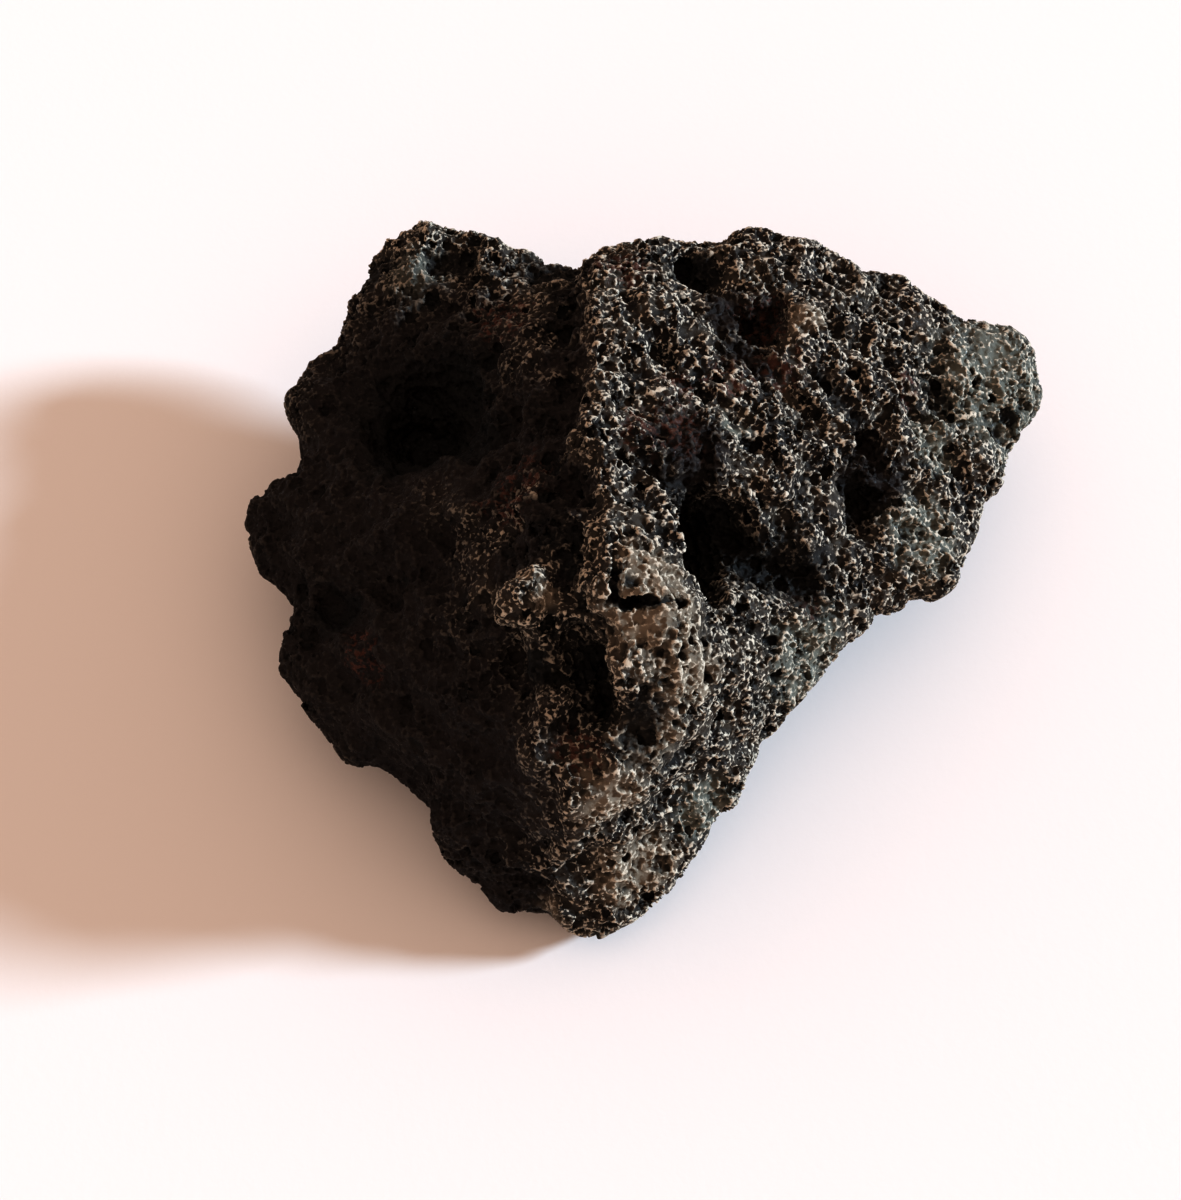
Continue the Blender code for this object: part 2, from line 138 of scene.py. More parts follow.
# Lumps and hollows on the upper side: x, y, reach and rise
LUMPS = [
    (-10.4, -14.2, 2.4, 2.6),
    (-5.3, -15.2, 1.5, 0.6),
    (-9.0, -21.0, 2.6, 2.2),
    (-9.9, -24.6, 2.4, 1.8),
    (-7.2, -25.4, 2.0, 1.2),
    (-4.6, -18.6, 1.6, -0.9),
    (-6.6, -17.0, 2.0, -1.2),
    (-4.8, -21.4, 1.8, -1.0),
    (-1.2, -24.2, 3.2, -1.5),
    (-16.6, -20.6, 2.6, 1.0),
    (0.6, 16.6, 3.4, 0.8),
    (14.6, 18.3, 2.8, 1.0),
    (8.0, 8.6, 3.2, 0.8),
    (13.9, 10.2, 2.6, 0.7),
    (4.0, 3.1, 2.6, 0.8),
    (20.0, 12.0, 2.4, 0.8),
    (26.6, 12.0, 2.2, 0.7),
    (-22.9, 31.4, 1.7, 0.9),
    (-18.8, 31.0, 1.7, -0.9),
    (-15.4, 30.4, 1.5, 0.8),
    (5.0, -2.6, 3.0, -0.8),
    (7.4, -4.6, 3.0, -0.9),
    (12.7, -5.9, 3.4, -0.9),
    (19.0, 3.1, 2.8, -0.9),
    (14.6, 0.4, 2.6, -0.6),
    (21.4, -5.0, 2.4, -0.7),
    (9.6, 17.8, 2.2, -0.8),
    (7.0, 18.6, 2.0, -0.7),
    (9.0, 13.8, 2.0, -0.9),
    (11.4, 20.2, 2.2, -0.8),
    (3.4, 24.4, 1.8, -0.7),
    (6.2, 24.0, 1.8, -0.7),
    (0.2, 13.4, 2.2, -0.7),
    (2.0, 12.0, 1.8, -0.5),
    (1.6, -2.4, 2.4, -1.4),
    (4.4, 7.4, 1.8, -0.7),
    (21.4, 22.4, 1.9, -1.0),
    (23.5, 16.6, 1.5, -1.0),
    (28.7, 19.8, 1.4, -0.8),
    (28.4, 14.2, 1.8, -1.0),
    (29.4, 9.5, 1.4, -0.8),
    (20.7, 7.4, 1.7, -1.3),
    (25.7, 4.4, 1.3, -1.0),
    (24.9, 1.0, 1.2, -0.8),
    (-1.5, -8.4, 1.4, -0.8),
    (7.2, -19.4, 1.6, -0.8),
    (3.2, -22.9, 1.3, -0.8),
    (32.8, 16.8, 1.1, -0.6),
    (-22.1, 29.0, 1.5, -0.9),
    (-22.1, 13.3, 4.5, -1.2),
]

# Places where the outline stands out or back: x, y, z, reach and rise
TRIM = [
    (-29.0, 29.5, 18.0, 4.0, -1.2),
    (-31.0, 24.0, 14.0, 4.5, -0.4),
    (-19.4, 30.0, 20.0, 2.6, -1.6),
    (-9.0, 28.6, 20.0, 5.0, -0.8),
    (-25.5, -23.0, 9.0, 6.5, -2.2),
    (-20.5, -27.5, 5.0, 4.5, -0.8),
    (15.0, 27.4, 18.0, 5.0, -0.5),
    (-36.5, 1.0, 12.0, 5.0, -0.5),
    (-13.0, -33.0, 4.0, 5.0, -0.7),
    (-34.5, 12.0, 12.0, 4.0, -0.6),
    (-35.0, -4.0, 11.0, 5.0, -0.7),
    (36.0, 20.0, 13.0, 6.0, 0.5),
    (33.0, 8.0, 12.0, 6.0, 0.7),
    (29.0, 0.0, 11.0, 5.0, 1.2),
    (21.0, -5.0, 11.0, 4.5, 1.5),
    (12.0, -15.0, 9.0, 5.0, 0.6),
    (8.2, -21.5, 9.0, 4.0, 1.0),
    (3.0, -29.0, 7.0, 5.0, 0.6),
]

# Places with a surface of their own, and places with a colour of their own, some of it painted shade: x,
# y, z and reach
CALM = [
    (-26.0, 4.0, 16.0, 15.0),
    (-24.0, -14.0, 14.0, 12.0),
    (-13.0, -24.0, 16.0, 8.0),
]
SMOOTH = [
    (-1.0, -17.4, 33.0, 1.6),
    (-2.3, -13.4, 33.6, 0.9),
    (34.2, 20.5, 17.0, 2.4),
    (7.1, 4.9, 27.0, 1.0),
    (4.5, -21.1, 19.7, 1.4),
    (-6.6, -29.3, 20.7, 1.1),
]
TINTS = {
    "tan": [
        (-1.0, -12.6, 33.0, 2.4),
        (0.0, -17.5, 33.0, 5.0),
        (2.5, -20.0, 28.0, 4.0),
        (-1.5, -31.0, 9.0, 3.8),
        (-4.0, -27.4, 20.0, 3.6),
        (-1.0, -24.0, 24.0, 3.0),
        (14.6, 18.3, 26.2, 1.6),
        (-9.1, -33.5, 6.1, 1.6),
        (-10.2, -14.2, 31.0, 1.5),
    ],
    "green": [
        (35.0, 17.0, 16.0, 7.0),
        (14.0, -12.5, 15.0, 4.5),
        (27.4, 9.4, 17.0, 2.6),
        (-23.6, 27.6, 21.0, 3.4),
        (4.9, -25.0, 9.5, 3.0),
        (7.1, 4.9, 27.0, 1.4),
        (26.0, 0.5, 14.0, 4.0),
    ],
    "rust": [
        (7.0, 10.0, 26.6, 2.4),
        (-0.8, 2.8, 30.4, 3.0),
        (24.6, 14.8, 19.7, 1.8),
        (13.7, -8.0, 17.6, 1.8),
        (-2.8, 22.6, 27.5, 3.2),
        (2.0, 4.0, 29.0, 2.6),
        (10.5, 18.9, 23.9, 3.0),
        (-6.6, -25.2, 22.8, 2.6),
        (-14.2, 18.9, 24.3, 3.0),
        (12.0, 13.0, 25.0, 2.4),
        (-12.0, -2.0, 27.0, 3.4),
        (-27.0, -13.0, 16.0, 2.6),
        (25.6, 12.6, 18.6, 1.4),
        (2.0, 8.0, 28.0, 2.0),
    ],
    # Painted shade: the left face, which the key light leaves in shadow, and the troughs beside the crest
    # and in the valleys, darkened in colour
    "painted_shadow_side": [
        (-22.0, 12.0, 14.0, 15.0),
        (-28.0, -8.0, 14.0, 15.0),
        (-34.0, 6.0, 12.0, 8.0),
        (-15.5, -14.5, 26.0, 3.2),
        (-13.0, -8.6, 29.0, 3.2),
        (-7.8, -8.6, 30.5, 1.8),
        (-10.3, -6.4, 30.1, 2.4),
        (-10.6, -10.0, 30.3, 1.6),
        (-8.2, -5.6, 31.0, 2.0),
        (-8.0, -12.4, 31.0, 1.2),
        (-8.0, 22.0, 26.5, 2.6),
        (-8.2, 17.0, 28.0, 2.6),
        (-8.2, 12.0, 28.5, 2.6),
        (-8.4, 7.0, 28.5, 2.6),
        (-8.4, 2.0, 29.5, 2.6),
        (-8.0, -3.0, 30.5, 2.6),
        (7.0, 18.6, 27.0, 2.4),
        (9.0, 13.8, 26.0, 2.4),
        (-18.0, -20.0, 14.0, 12.0),
        (-13.0, 4.0, 24.0, 8.0),
        (-15.0, -30.0, 6.0, 6.0),
        (2.4, 2.0, 28.0, 3.6),
        (10.5, 18.9, 23.9, 2.6),
        (20.0, 5.0, 18.0, 4.0),
    ],
    # Painted shade: the deep hollow, the valleys and the bowls under the crest, darkened to near black in
    # colour
    "painted_deep_shade": [
        (-22.1, 12.0, 14.0, 7.5),
        (-30.0, -7.4, 14.5, 2.4),
        (-19.6, 5.6, 18.0, 3.4),
        (-18.7, 14.0, 20.0, 4.5),
        (-16.8, 7.4, 21.4, 3.4),
        (-24.6, 6.4, 15.7, 4.0),
        (5.0, -3.0, 20.7, 3.4),
        (9.0, -5.4, 19.5, 3.4),
        (13.4, -5.4, 17.6, 3.0),
        (19.0, 3.1, 17.4, 2.6),
        (2.4, -4.4, 26.0, 3.0),
        (4.8, 24.1, 24.6, 2.0),
        (-5.4, -17.6, 24.6, 2.4),
        (-5.2, -20.6, 23.2, 2.0),
        (-10.3, -17.6, 25.0, 1.8),
        (-6.6, -16.8, 28.0, 1.6),
        (-4.8, -21.6, 24.5, 1.8),
        (-7.6, -9.0, 29.0, 2.6),
    ],
}


def settings(name):
    return getattr(bpy.context.scene, name)


def linear(hex_colour):
    """An sRGB hex colour as linear red, green, blue."""
    parts = [int(hex_colour[i:i + 2], 16) / 255 for i in (1, 3, 5)]
    return tuple(c / 12.92 if c <= 0.04045 else ((c + 0.055) / 1.055) ** 2.4 for c in parts)


# Scattered values: a table of random numbers that every cell of space reads at its own row

TABLE_ROWS = 1 << 14
NOISE_GAIN = 1.6
ROW_PRIMES = np.array((73856093, 19349663, 83492791))
NEIGHBOURS = list(itertools.product((-1, 0, 1), repeat=3))
CORNERS = list(itertools.product((0, 1), repeat=3))


def rows(cells):
    mixed = cells * ROW_PRIMES
    return (mixed[:, 0] ^ mixed[:, 1] ^ mixed[:, 2]) & (TABLE_ROWS - 1)


def smooth_noise(points, wavelength, seed):
    """Gradient noise between about -1 and 1."""
    rng = np.random.default_rng(seed)
    slopes = rng.normal(size=(TABLE_ROWS, 3))
    slopes /= np.linalg.norm(slopes, axis=1)[:, None]
    places = points / wavelength
    cells = np.floor(places).astype(np.int64)
    inside = places - cells
    fade = inside ** 3 * (inside * (inside * 6.0 - 15.0) + 10.0)
    total = np.zeros(len(points))
    for corner in CORNERS:
        weight = np.where(corner, fade, 1.0 - fade).prod(axis=1)
        total += weight * (slopes[rows(cells + corner)] * (inside - corner)).sum(axis=1)
    return NOISE_GAIN * total


def bent(points, reach, wavelength, seed):
    """The points moved aside a little, so that what is drawn by them has a ragged outline."""
    steps = [smooth_noise(points, wavelength, seed + axis) for axis in range(3)]
    return points + reach * np.stack(steps, axis=1)


def near(points, places):
    """How close each point is to any of the places: 1 within half of a place's reach, 0 from one and
    a half of it on."""
    best = np.zeros(len(points))
    for x, y, z, reach in places:
        away = np.linalg.norm(points - (x, y, z), axis=1) / reach
        best = np.maximum(best, np.clip(1.5 - away, 0.0, 1.0))
    return best


# Nets

def points_of(mesh):
    flat = np.empty(3 * len(mesh.vertices), dtype=np.float32)
    mesh.vertices.foreach_get("co", flat)
    return flat.reshape(-1, 3).astype(float)


def normals_of(mesh):
    flat = np.empty(3 * len(mesh.vertices), dtype=np.float32)
    mesh.vertex_normals.foreach_get("vector", flat)
    return flat.reshape(-1, 3).astype(float)


def move_points(mesh, points):
    mesh.vertices.foreach_set("co", points.astype(np.float32).ravel())
    mesh.update()


def raise_surface(mesh, ways, rise):
    move_points(mesh, points_of(mesh) + ways * rise[:, None])


def with_modifier(mesh, kind, **values):
    """The mesh as one modifier leaves it."""
    blank = bpy.data.objects.new("blank", mesh)
    bpy.context.scene.collection.objects.link(blank)
    modifier = blank.modifiers.new(kind, kind)
    for name, value in values.items():
        setattr(modifier, name, value)
    evaluated = blank.evaluated_get(bpy.context.evaluated_depsgraph_get())
    result = bpy.data.meshes.new_from_object(evaluated)
    bpy.data.objects.remove(blank)
    bpy.data.meshes.remove(mesh)
    return result


def even_net(mesh, width):
    return with_modifier(mesh, "REMESH", mode="VOXEL", voxel_size=width)


def thinned(mesh, triangles):
    mesh.calc_loop_triangles()
    return with_modifier(mesh, "DECIMATE", ratio=triangles / len(mesh.loop_triangles))


def packed_rock():
    """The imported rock's surface in millimetres, its loose triangles merged."""
    shape = bmesh.new()
    shape.from_mesh(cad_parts[NODE].data)
    bmesh.ops.remove_doubles(shape, verts=shape.verts, dist=MERGE_GAP * MM)
    bmesh.ops.scale(shape, vec=(1 / MM,) * 3, verts=shape.verts)
    mesh = bpy.data.meshes.new("packed")
    shape.to_mesh(mesh)
    shape.free()
    return mesh


def rounded(mesh, times):
    """The mesh with its facets smoothed away."""
    shape = bmesh.new()
    shape.from_mesh(mesh)
    for _ in range(times):
        bmesh.ops.smooth_vert(
            shape, verts=shape.verts, factor=0.5, use_axis_x=True, use_axis_y=True, use_axis_z=True)
    shape.to_mesh(mesh)
    shape.free()
    return mesh


def nearest_on(mesh, points):
    """For each point, the nearest place on a mesh, its normal there and the face's number."""
    shape = bmesh.new()
    shape.from_mesh(mesh)
    tree = BVHTree.FromBMesh(shape)
    shape.free()
    hits = [tree.find_nearest(Vector(point)) for point in points]
    return [np.array([hit[part] for hit in hits]) for part in range(3)]


# Carving

def along(points, route):
    """How far each point lies from a route in plan."""
    corners = np.array(route)
    nearest = np.full(len(points), np.inf)
    for start, end in zip(corners[:-1], corners[1:]):
        edge = end - start
        steps = points[:, :2] - start
        share = np.clip(steps @ edge / (edge @ edge), 0.0, 1.0)
        nearest = np.minimum(nearest, np.linalg.norm(steps - share[:, None] * edge, axis=1))
    return nearest


def carve_forms(mesh):
    """Knobs over the whole rock, and the lumps, hollows and ridges that stand out one by one."""
    points = points_of(mesh)
    normals = normals_of(mesh)
    streaks = points - STREAK * np.outer(points @ DOWN_SLOPE, DOWN_SLOPE)
    knobs = np.zeros(len(points))
    for index, (wavelength, height) in enumerate(KNOBS):
        waves = np.abs(smooth_noise(streaks, wavelength, SEED + index))
        knobs += height * (KNOB_TOP - KNOB_FALL * waves)
    upward = np.clip(normals[:, 2], 0.0, 1.0)
    rise = (SWELL + knobs) * (FLANK_SHARE + (1.0 - FLANK_SHARE) * upward)
    rise *= 1.0 - SMOOTH_KNOBS * near(points, SMOOTH)
    places = bent(bent(points, *COARSE_BEND, SEED + 10), *FINE_BEND, SEED + 13)
    for x, y, z, reach, height in TRIM:
        away = np.linalg.norm(places - (x, y, z), axis=1) / reach
        rise += height * np.clip(1.0 - away ** 2, 0.0, 1.0)
    top = np.zeros(len(points))
    for x, y, reach, height in LUMPS:
        away = np.linalg.norm(places[:, :2] - (x, y), axis=1) / reach
        top += height * np.clip(1.0 - away ** 2, 0.0, 1.0) ** 1.5
    for route, width, height in RIDGES:
        top += height * np.clip(1.0 - along(places, route) / width, 0.0, 1.0)
    rise += np.where(normals[:, 2] > 0.0, top, 0.0)
    store(mesh, "rise", rise)
    raise_surface(mesh, normals, rise)


def cut_cracks(mesh):
    points = points_of(mesh)
    places = bent(points, *CRACK_BEND, SEED + 20)
    drop = np.zeros(len(points))
    for route, width, depth in CRACKS:
        inside = (along(places, route) < width / 2) & (points[:, 2] > CRACK_LEVEL)
        drop = np.maximum(drop, np.where(inside, depth, 0.0))
    raise_surface(mesh, normals_of(mesh), -drop)


def burst_bubbles(points, axes, seed, spacing, small, large, share):
    """How deep each point sinks when every ball that it lies in is pressed out of the rock."""
    rng = np.random.default_rng(seed)
    shifts = rng.random((TABLE_ROWS, 3))
    sizes = spacing * (small + (large - small) * rng.random(TABLE_ROWS) ** 2)
    sizes *= rng.random(TABLE_ROWS) < share
    cells = np.floor(points / spacing).astype(np.int64)
    drop = np.zeros(len(points))
    for neighbour in NEIGHBOURS:
        row = rows(cells + neighbour)
        steps = points - (cells + neighbour + shifts[row]) * spacing
        up = (steps * axes).sum(axis=1)
        slack = sizes[row] ** 2 - (steps ** 2).sum(axis=1)
        depth = np.minimum(up + np.sqrt(np.maximum(slack + up ** 2, 0.0)), DEEPEST * sizes[row])
        drop = np.maximum(drop, np.where(slack > 0.0, depth, 0.0))
    return drop


def carve_bubbles(mesh, axes, seed, sizes, foam=False):
    points = points_of(mesh)
    *size, ragged = sizes
    places = bent(points, ragged * size[0], BUBBLE_BEND * size[0], seed)
    drop = burst_bubbles(places, axes, seed, *size)
    drop *= 1.0 - CALM_BUBBLES * near(points, CALM)
    smoothed = SMOOTH_BUBBLES
    if foam:
        wavelength, middle, spread, least = FOAM_PATCHES
        patches = middle + spread * smooth_noise(points, wavelength, seed + 5)
        drop *= np.clip(patches, least, 1.0)
        smoothed = SMOOTH_FOAM
    raise_surface(mesh, axes, -drop * (1.0 - smoothed * near(points, SMOOTH)))


def seat(mesh):
    """Keep the rock on the table: what would hang below it is flat."""
    points = points_of(mesh)
    points[:, 2] = np.maximum(points[:, 2], 0.0)
    move_points(mesh, points)


def store(mesh, name, values):
    layer = mesh.attributes.new(name, "FLOAT", "POINT")
    layer.data.foreach_set("value", values.astype(np.float32))


def face_rises(mesh):
    """How far each face was raised: the stored rise of its first corner."""
    rises = np.empty(len(mesh.vertices), dtype=np.float32)
    mesh.attributes["rise"].data.foreach_get("value", rises)
    corners = np.empty(len(mesh.loops), dtype=np.int32)
    mesh.loops.foreach_get("vertex_index", corners)
    starts = np.empty(len(mesh.polygons), dtype=np.int32)
    mesh.polygons.foreach_get("loop_start", starts)
    return rises[corners[starts]]


def paint_places(mesh, forms):
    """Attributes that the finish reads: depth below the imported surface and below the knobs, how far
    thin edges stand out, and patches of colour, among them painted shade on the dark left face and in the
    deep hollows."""
    points = points_of(mesh)
    ragged = bent(points, *TINT_BEND, SEED + 40)
    softer = points_of(rounded(mesh.copy(), EDGE_ROUNDING))
    places, normals, faces = nearest_on(forms, points)
    depth = ((places - points) * normals).sum(axis=1)
    masks = {
        "low": depth - face_rises(forms)[faces],
        "depth": depth,
        "edge": ((points - softer) * normals_of(mesh)).sum(axis=1),
    }
    masks.update((tint, near(ragged, spots)) for tint, spots in TINTS.items())
    for name, values in masks.items():
        store(mesh, name, values)


def carved_rock(triangles):
    """The whole crust in millimetres, as one closed mesh."""
    smooth = rounded(even_net(packed_rock(), FORM_NET), FACET_ROUNDING)
    mesh = smooth.copy()
    carve_forms(mesh)
    forms = mesh.copy()
    carve_bubbles(mesh, normals_of(mesh), SEED + 50, CAVITIES)
    mesh = rounded(even_net(mesh, BUBBLE_NET), 1)
    cut_cracks(mesh)
    axes = nearest_on(smooth, points_of(mesh))[1]
    carve_bubbles(mesh, axes, SEED + 60, BUBBLES)
    mesh = rounded(even_net(mesh, FOAM_NET), 2)
    for index, sizes in enumerate(FOAM):
        carve_bubbles(mesh, normals_of(mesh), SEED + 70 + 10 * index, sizes, foam=True)
    mesh = thinned(mesh, triangles)
    seat(mesh)
    paint_places(mesh, forms)
    return mesh


CUT_GAP = 0.001 * MM


def cut_in_two(mesh, axis):
    """Two closed halves of a mesh, cut across an axis where each gets half of the points."""
    middle = Vector()
    middle[axis] = float(np.median(points_of(mesh)[:, axis]))
    normal = Vector()
    normal[axis] = 1.0
    halves = []
    for side in (1.0, -1.0):
        shape = bmesh.new()
        shape.from_mesh(mesh)
        cut = bmesh.ops.bisect_plane(
            shape, geom=[*shape.verts, *shape.edges, *shape.faces], dist=CUT_GAP,
            plane_co=middle, plane_no=side * normal, clear_outer=True)
        rim = [part for part in cut["geom_cut"] if isinstance(part, bmesh.types.BMEdge)]
        caps = bmesh.ops.holes_fill(shape, edges=rim, sides=0)["faces"]
        bmesh.ops.triangulate(shape, faces=caps)
        for edge in rim:
            edge.smooth = False
        half = mesh.copy()
        shape.to_mesh(half)
        shape.free()
        halves.append(half)
    return halves


# Materials

# Grains of the basalt: their size in mm, detail and roughness
GRAINS = {
    "mottle": (3.0, 3.0, 0.6),
    "speck": (0.5, 3.0, 0.6),
    "stain": (0.7, 3.0, 0.6),
    "glassy": (0.35, 1.0, 0.6),
    "tooth": (0.30, 4.0, 0.7),
}
TOOTH_DEPTH = 0.12
TOOTH_STRENGTH = 0.8

# How much shows where: the grain or painted place that it follows, where that starts and ends, and
# the share at both ends
SHARES = {
    "mottle": ("mottle", 0.35, 0.65, 0.0, 1.0),
    "tan": ("tan", 0.1, 0.9, 0.0, 0.62),
    "green": ("green", 0.1, 0.9, 0.0, 0.62),
    # Painted shade: what lies below the knobs turns towards the dark shade colour
    "hollow": ("low", -0.1, 1.1, 0.0, 0.88),
    "high": ("low", -0.3, 0.9, 1.0, 0.10),
    "ridge": ("edge", 0.015, 0.06, 0.0, 1.0),
    "speck": ("speck", 0.40, 0.58, 0.0, 1.0),
    "stain": ("stain", 0.42, 0.66, 0.0, 1.0),
    # Painted shade: the dark left face and the troughs, darkened in colour
    "painted_shadow_side": ("painted_shadow_side", 0.0, 0.8, 0.0, 0.96),
    "rust": ("rust", 0.10, 0.7, 0.0, 0.70),
    # Painted shade: the deep places and the deep hollows turn towards the dark shade colour
    "shade": ("depth", 0.20, 0.80, 0.0, 0.94),
    "painted_deep_shade": ("painted_deep_shade", 0.0, 1.0, 0.0, 0.96),
    "glassy": ("glassy", 0.62, 0.68, 0.0, 1.0),
}

# The tooth of the paper: size in mm, detail, roughness, strength and depth in mm
PAPER_TOOTH = (0.8, 4.0, 0.6, 0.12, 0.08)


def add(tree, kind, links=(), **values):
    """Add a node. Each link brings a socket or a fixed value to an input, by the input's name or
    number. Values are the node's own settings, or its inputs' where the name is one of theirs."""
    node = tree.nodes.new(kind)
    for name, value in values.items():
        if hasattr(node, name):
            setattr(node, name, value)
        else:
            node.inputs[name.replace("_", " ")].default_value = value
    for source, target in links:
        if isinstance(source, bpy.types.NodeSocket):
            tree.links.new(source, node.inputs[target])
        else:
            node.inputs[target].default_value = source
    return node


def new_material(name):
    material = bpy.data.materials.new(name)
    material.use_nodes = True
    tree = material.node_tree
    return material, tree, tree.nodes["Principled BSDF"]


def basalt_material():
    """Vesicular basalt, broken and weathered: a dull charcoal crust with pale specks on its ridges, partly
    dust and partly painted highlight, painted shade darkening its bubbles, hollows and left face, with
    rust and grey-green stains and a few glassy faces that catch the light."""
    finish = settings("lava_finish")
    material, tree, shader = new_material("vesicular basalt")
    place = add(tree, "ShaderNodeTexCoord").outputs["Object"]
    sources = {}
    for name, (size, detail, roughness) in GRAINS.items():
        grain = add(
            tree, "ShaderNodeTexNoise", [(place, "Vector")],
            Scale=1.0 / (size * MM), Detail=detail, Roughness=roughness)
        sources[name] = grain.outputs["Fac"]
    for name in ("low", "depth", "edge", *TINTS):
        sources[name] = add(tree, "ShaderNodeAttribute", attribute_name=name).outputs["Fac"]
    shares = {}
    for name, (source, start, end, first, last) in SHARES.items():
        value = sources[source]
        if name == "rust":
            stained = add(
                tree, "ShaderNodeMath", [(value, 0), (shares["stain"], 1)], operation="MULTIPLY")
            value = stained.outputs[0]
        share = add(
            tree, "ShaderNodeMapRange", [(value, "Value")], interpolation_type="SMOOTHSTEP",
            From_Min=start, From_Max=end, To_Min=first, To_Max=last)
        shares[name] = share.outputs["Result"]
    # Pale specks on the ridge tops: partly dust, partly painted highlight where the ridges catch the light
    highlit_dust = shares["high"]
    for name in ("ridge", "speck"):
        product = add(
            tree, "ShaderNodeMath", [(highlit_dust, 0), (shares[name], 1)], operation="MULTIPLY")
        highlit_dust = product.outputs[0]

    # From the bare stone up, each layer over the ones before it. The low places, the deep places, the dark
    # left face and the deep hollows are painted shade, and the ridge specks are partly painted highlight.
    layers = [
        (shares["mottle"], finish.crust),
        (shares["tan"], finish.tan),
        (shares["green"], finish.green),
        (shares["hollow"], finish.painted_shade),
        (highlit_dust, finish.dust_and_highlight),
        (shares["painted_shadow_side"], finish.painted_shadow_side),
        (shares["rust"], finish.rust),
        (shares["shade"], finish.painted_shade),
        (shares["painted_deep_shade"], finish.painted_shade),
    ]
    colour = (*finish.charcoal, 1.0)
    for share, tint in layers:
        layer = add(
            tree, "ShaderNodeMix", [(share, 0), (colour, 6), ((*tint, 1.0), 7)], data_type="RGBA")
        colour = layer.outputs[2]
    tree.links.new(colour, shader.inputs["Base Color"])

    gloss = add(
        tree, "ShaderNodeMapRange", [(shares["glassy"], "Value")], interpolation_type="SMOOTHSTEP",
        To_Min=finish.roughness, To_Max=finish.glint_roughness)
    tree.links.new(gloss.outputs["Result"], shader.inputs["Roughness"])
    bump = add(
        tree, "ShaderNodeBump", [(sources["tooth"], "Height")],
        Strength=TOOTH_STRENGTH, Distance=TOOTH_DEPTH * MM)
    tree.links.new(bump.outputs["Normal"], shader.inputs["Normal"])
    shader.inputs["IOR"].default_value = 1.55
    shader.inputs["Specular IOR Level"].default_value = 0.25
    return material


def paper_material():
    """Heavy white drawing paper: matt, warm white, with a faint tooth."""
    studio = settings("lava_studio")
    material, tree, shader = new_material("drawing paper")
    place = add(tree, "ShaderNodeTexCoord").outputs["Object"]
    shader.inputs["Base Color"].default_value = (*studio.floor_colour, 1.0)
    shader.inputs["Roughness"].default_value = 0.9
    shader.inputs["Specular IOR Level"].default_value = 0.2
    size, detail, roughness, strength, depth = PAPER_TOOTH
    tooth = add(
        tree, "ShaderNodeTexNoise", [(place, "Vector")],
        Scale=1.0 / (size * MM), Detail=detail, Roughness=roughness)
    bump = add(
        tree, "ShaderNodeBump", [(tooth.outputs["Fac"], "Height")],
        Strength=strength, Distance=depth * MM)
    tree.links.new(bump.outputs["Normal"], shader.inputs["Normal"])
    return material


# Settings that a user would change

class LavaFinish(PropertyGroup):
    """How fine the crust is and what its surface looks like"""
    triangles: IntProperty(
        name="Triangles", description="Triangles kept in the whole crust",
        min=100000, max=780000, default=760000)
    crust: FloatVectorProperty(
        name="Crust", description="Colour of the weathered crust",
        subtype="COLOR", default=linear("#433c33"))
    charcoal: FloatVectorProperty(
        name="Charcoal", description="Colour of the darker crust",
        subtype="COLOR", default=linear("#231e1a"))
    # Partly dust, partly painted highlight on the ridge tops
    dust_and_highlight: FloatVectorProperty(
        name="Dust", description="Colour of the pale specks on ridges and grains",
        subtype="COLOR", default=linear("#c2b9a9"))
    # Painted shade: the colour that bubbles, low places and hollows are darkened to
    painted_shade: FloatVectorProperty(
        name="Pit", description="Colour deep inside the bubbles",
        subtype="COLOR", default=linear("#0e0b08"))
    tan: FloatVectorProperty(
        name="Tan", description="Colour of the brown patches along the crest",
        subtype="COLOR", default=linear("#8f8372"))
    rust: FloatVectorProperty(
        name="Rust", description="Colour of the rust stains",
        subtype="COLOR", default=linear("#5a3628"))
    green: FloatVectorProperty(
        name="Grey-green", description="Colour of the grey-green patches on the tip and the rim",
        subtype="COLOR", default=linear("#777a70"))
    # Painted shade: the colour that the shadowed left face is darkened to
    painted_shadow_side: FloatVectorProperty(
        name="Soot", description="Colour of the dark left face",
        subtype="COLOR", default=linear("#1e1511"))
    roughness: FloatProperty(
        name="Roughness", description="Roughness of the dull crust",
        subtype="FACTOR", min=0.0, max=1.0, default=0.7)
    glint_roughness: FloatProperty(
        name="Glint roughness", description="Roughness of the small glassy faces",
        subtype="FACTOR", min=0.0, max=1.0, default=0.3)


